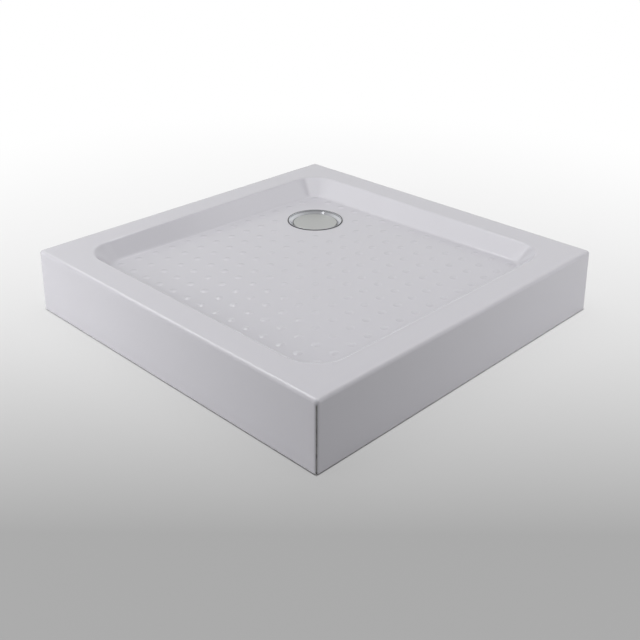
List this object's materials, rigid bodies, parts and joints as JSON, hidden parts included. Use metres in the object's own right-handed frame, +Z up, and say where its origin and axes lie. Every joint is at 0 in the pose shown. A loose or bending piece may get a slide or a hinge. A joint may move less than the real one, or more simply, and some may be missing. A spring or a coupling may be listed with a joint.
{
  "type": "shower tray",
  "caption": "Low square shower tray in white with a flat rim, leaning skirts, a sunk floor with anti-slip dots and a round waste near one corner, on levelling feet.",
  "frame": {"origin": "on the ground, under the middle of the tray's square footprint", "axes": "+Z up, +X and +Y along the sides towards the corner where the waste lies; the corner at -X -Y faces the viewer"},
  "size_m": [0.9, 0.9, 0.15],
  "materials": {
    "white_acrylic": "high gloss white",
    "laminate": "rough glass-fibre laminate",
    "foam": "closed-cell foam",
    "chipboard": "raw chipboard",
    "timber": "raw softwood",
    "zinc_steel": "zinc plated",
    "black_plastic": "moulded",
    "chrome": "polished",
    "satin_metal": "satin",
    "black_rubber": "matt",
    "grey_plastic": "moulded",
    "white_plastic": "moulded"
  },
  "bodies": {
    "tray": {"base_board": "chipboard", "flange_gasket": "black_rubber", "flange_screws": "zinc_steel", "foam_bed": "foam", "foot_nuts": "zinc_steel", "frame_cross_back": "zinc_steel", "frame_cross_front": "zinc_steel", "frame_rail_left": "zinc_steel", "frame_rail_middle": "zinc_steel", "frame_rail_right": "zinc_steel", "frame_screws": "zinc_steel", "glass_layer": "laminate", "lock_nuts": "zinc_steel", "outlet_nut": "grey_plastic", "outlet_seal": "black_rubber", "skirt_batten_back": "timber", "skirt_batten_front": "timber", "skirt_batten_left": "timber", "skirt_batten_right": "timber", "trap_body": "grey_plastic", "trap_gasket": "black_rubber", "tray_shell": "white_acrylic", "waste_flange": "chrome"},
    "cup": {"dip_cup": "white_plastic", "cup_seal": "black_rubber"},
    "cover": {"waste_cover": "satin_metal", "cover_carrier": "white_plastic"},
    "pad_front_left": {"foot_pad_front_left": "black_plastic"},
    "stem_front_left": {"foot_stem_front_left": "zinc_steel"},
    "pad_front_right": {"foot_pad_front_right": "black_plastic"},
    "stem_front_right": {"foot_stem_front_right": "zinc_steel"},
    "pad_back_left": {"foot_pad_back_left": "black_plastic"},
    "stem_back_left": {"foot_stem_back_left": "zinc_steel"},
    "pad_back_right": {"foot_pad_back_right": "black_plastic"},
    "stem_back_right": {"foot_stem_back_right": "zinc_steel"},
    "pad_middle": {"foot_pad_middle": "black_plastic"},
    "stem_middle": {"foot_stem_middle": "zinc_steel"}
  },
  "joints": [
    {"name": "cup_lift", "type": "slide", "parent": "tray", "child": "cup", "axis": [0, 0, 1], "range_m": [0, 0.09]},
    {"name": "cover_lift", "type": "slide", "parent": "cup", "child": "cover", "axis": [0, 0, 1], "range_m": [0, 0.04]},
    {"name": "foot_front_left_travel", "type": "slide", "parent": "tray", "child": "pad_front_left", "axis": [0, 0, 1], "range_m": [-0.014, 0.007]},
    {"name": "foot_front_left_turn", "type": "hinge", "parent": "pad_front_left", "child": "stem_front_left", "pos_m": [-0.3, -0.3, 0.01], "axis": [0, 0, 1], "range_deg": [-2881, 1441]},
    {"name": "foot_front_right_travel", "type": "slide", "parent": "tray", "child": "pad_front_right", "axis": [0, 0, 1], "range_m": [-0.014, 0.007]},
    {"name": "foot_front_right_turn", "type": "hinge", "parent": "pad_front_right", "child": "stem_front_right", "pos_m": [0.3, -0.3, 0.01], "axis": [0, 0, 1], "range_deg": [-2881, 1441]},
    {"name": "foot_back_left_travel", "type": "slide", "parent": "tray", "child": "pad_back_left", "axis": [0, 0, 1], "range_m": [-0.014, 0.007]},
    {"name": "foot_back_left_turn", "type": "hinge", "parent": "pad_back_left", "child": "stem_back_left", "pos_m": [-0.3, 0.3, 0.01], "axis": [0, 0, 1], "range_deg": [-2881, 1441]},
    {"name": "foot_back_right_travel", "type": "slide", "parent": "tray", "child": "pad_back_right", "axis": [0, 0, 1], "range_m": [-0.014, 0.007]},
    {"name": "foot_back_right_turn", "type": "hinge", "parent": "pad_back_right", "child": "stem_back_right", "pos_m": [0.3, 0.3, 0.01], "axis": [0, 0, 1], "range_deg": [-2881, 1441]},
    {"name": "foot_middle_travel", "type": "slide", "parent": "tray", "child": "pad_middle", "axis": [0, 0, 1], "range_m": [-0.014, 0.007]},
    {"name": "foot_middle_turn", "type": "hinge", "parent": "pad_middle", "child": "stem_middle", "pos_m": [0, 0, 0.01], "axis": [0, 0, 1], "range_deg": [-2881, 1441]}
  ],
  "couplings": [
    {"joint": "foot_front_left_turn", "follows": "foot_front_left_travel", "rad_per_m": 3590.4},
    {"joint": "foot_front_right_turn", "follows": "foot_front_right_travel", "rad_per_m": 3590.4},
    {"joint": "foot_back_left_turn", "follows": "foot_back_left_travel", "rad_per_m": 3590.4},
    {"joint": "foot_back_right_turn", "follows": "foot_back_right_travel", "rad_per_m": 3590.4},
    {"joint": "foot_middle_turn", "follows": "foot_middle_travel", "rad_per_m": 3590.4}
  ]
}
